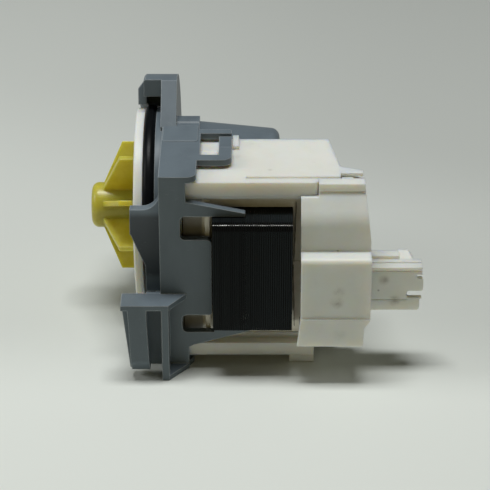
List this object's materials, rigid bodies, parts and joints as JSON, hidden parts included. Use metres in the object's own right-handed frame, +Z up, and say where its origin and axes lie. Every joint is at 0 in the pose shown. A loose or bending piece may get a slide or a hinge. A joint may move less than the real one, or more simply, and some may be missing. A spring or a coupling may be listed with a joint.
{
  "type": "dishwasher drain pump",
  "caption": "Synchronous drain pump with a bladed impeller in front of a sealed round plate, a clip-in mounting bracket, a laminated U-core with coils and a plug terminal.",
  "frame": {"origin": "middle of the chamber plate's front face, on the rotor axis", "axes": "+X from the impeller to the terminals along the rotor axis, +Z up as it stands, -Y towards the core's yoke"},
  "size_m": [0.1008, 0.0949, 0.0739],
  "materials": {
    "bracket_gray": "satin moulded polypropylene",
    "plate_white": "semi-gloss moulded",
    "white_moulding": "semi-gloss moulded polyester",
    "black_rubber": "satin moulded rubber",
    "bearing_ceramic": "fine matt",
    "shaft_steel": "ground",
    "carrier_black": "moulded",
    "ferrite": "ground ferrite",
    "washer_plastic": "moulded",
    "impeller_yellow": "semi-gloss moulded",
    "core_steel": "varnished laminations",
    "former_beige": "moulded glass-filled",
    "copper_wire": "enamelled",
    "wrap_brown": "varnished tape",
    "terminal_brass": "stamped"
  },
  "bodies": {
    "housing": {"mounting_bracket": "bracket_gray", "chamber_plate": "plate_white", "seal_ring": "black_rubber", "rotor_can": "plate_white", "can_gasket": "black_rubber", "front_bearing_bush": "bearing_ceramic", "front_bearing_grommet": "black_rubber", "rear_bearing_bush": "bearing_ceramic", "rear_bearing_grommet": "black_rubber", "stator_core": "core_steel", "coil_former_upper": "former_beige", "coil_former_lower": "former_beige", "winding_upper": "copper_wire", "winding_lower": "copper_wire", "coil_wrap_upper": "wrap_brown", "coil_wrap_lower": "wrap_brown", "coil_housing": "white_moulding", "end_cover": "white_moulding", "terminal_housing": "white_moulding", "terminal_blades": "terminal_brass", "coil_leads": "terminal_brass", "thermal_fuse": "carrier_black"},
    "rotor": {"shaft": "shaft_steel", "magnet_carrier": "carrier_black", "rotor_magnet": "ferrite", "thrust_washer_front": "washer_plastic", "thrust_washer_rear": "washer_plastic", "drive_dog": "carrier_black"},
    "impeller": {"impeller": "impeller_yellow", "impeller_hub_plug": "impeller_yellow", "hub_damper": "black_rubber"}
  },
  "joints": [
    {"name": "rotor_spin", "type": "hinge", "parent": "housing", "child": "rotor", "pos_m": [0, 0, 0], "axis": [1, 0, 0], "continuous": true},
    {"name": "impeller_play", "type": "hinge", "parent": "rotor", "child": "impeller", "pos_m": [0, 0, 0], "axis": [1, 0, 0], "range_deg": [-100, 100]}
  ]
}
